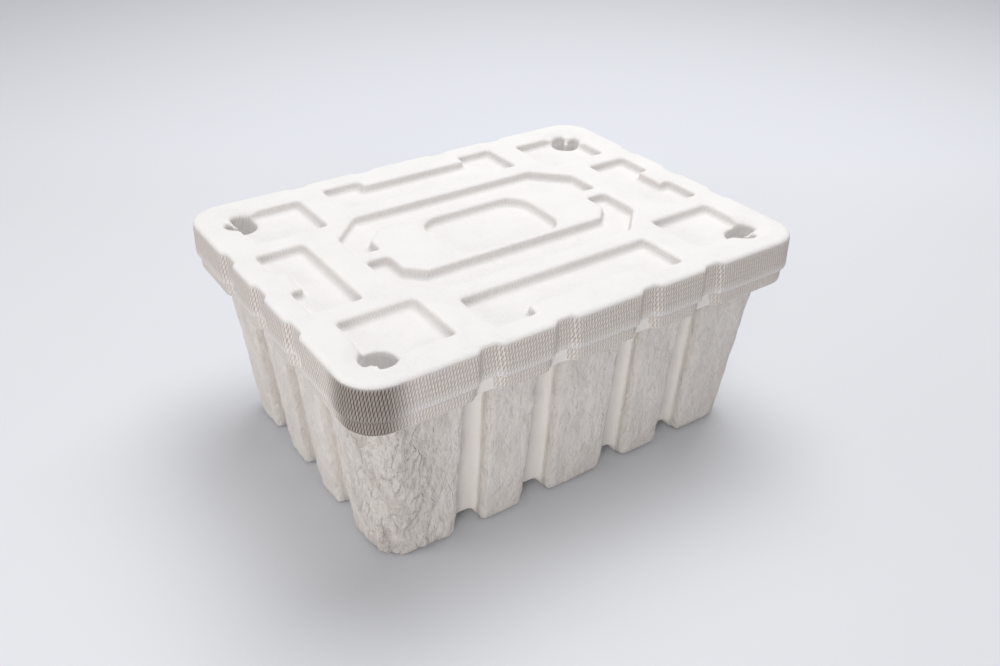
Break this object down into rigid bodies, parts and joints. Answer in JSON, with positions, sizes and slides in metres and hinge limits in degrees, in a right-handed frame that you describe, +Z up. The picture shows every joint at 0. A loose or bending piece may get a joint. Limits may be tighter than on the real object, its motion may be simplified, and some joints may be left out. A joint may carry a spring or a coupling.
{
  "type": "moulded pulp shipping box",
  "caption": "Moulded pulp shipping box: a ribbed tray on hollow legs, closed by an embossed lid whose notched skirt drops over the tray's rim.",
  "frame": {"origin": "on the floor below the middle of the closed box", "axes": "+Z up, +X along the long sides, +Y towards the back side"},
  "size_m": [0.4, 0.302, 0.181],
  "materials": {
    "tray_pulp": "bleached moulded paper pulp, rough and flaky outside, screen imprint on the rim",
    "lid_pulp": "bleached moulded paper pulp, smooth panel, screen imprint on the skirt"
  },
  "bodies": {
    "root": {"tray": "tray_pulp", "lid": "lid_pulp"}
  },
  "joints": []
}
